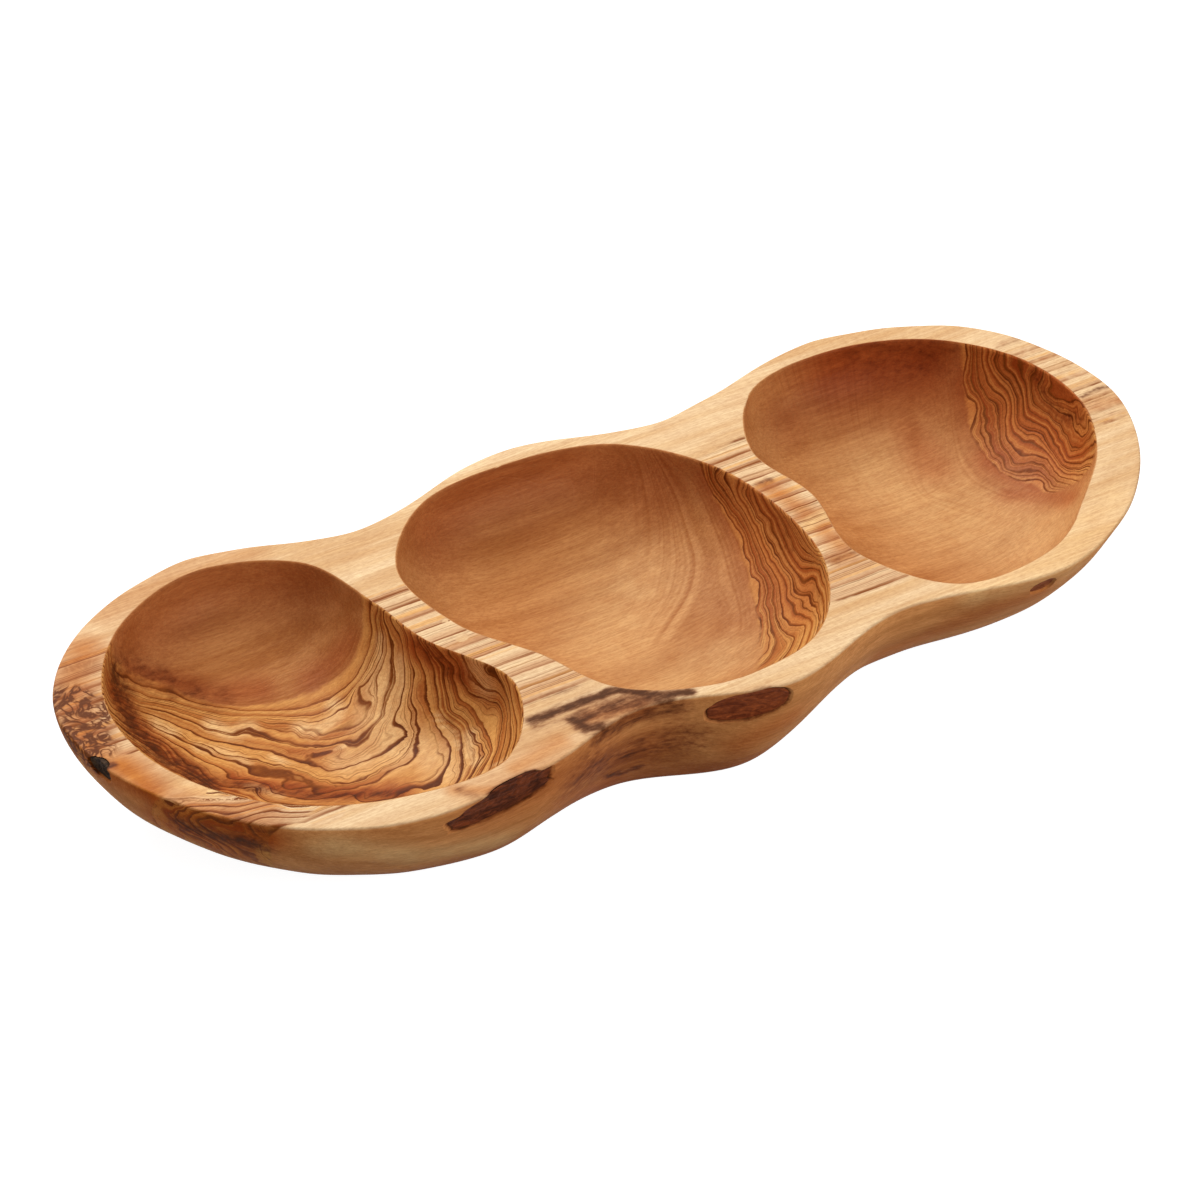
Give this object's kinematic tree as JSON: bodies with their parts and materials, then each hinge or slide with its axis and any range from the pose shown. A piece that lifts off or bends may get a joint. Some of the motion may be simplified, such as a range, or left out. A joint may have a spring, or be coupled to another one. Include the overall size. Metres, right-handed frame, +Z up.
{
  "type": "divided serving dish",
  "caption": "Low oblong serving dish carved from one block of figured olive wood, with rounded bowls side by side, a flat rim, waisted flanks and a flat base.",
  "frame": {"origin": "on the table, under the middle of the dish's bounding box", "axes": "+X along the row of bowls towards the right-hand bowl of the picture, +Y towards the back, +Z up"},
  "size_m": [0.3796, 0.1528, 0.044],
  "materials": {
    "olive_wood": "sanded and oiled, satin",
    "bark": "raw bark, matte",
    "knot_wood": "sanded knot, satin"
  },
  "bodies": {
    "root": {"dish_body": "olive_wood", "middle_bark_patch": "bark", "waist_bark_patch": "bark", "left_end_bark_chip": "bark", "right_pin_knot": "knot_wood"}
  },
  "joints": []
}
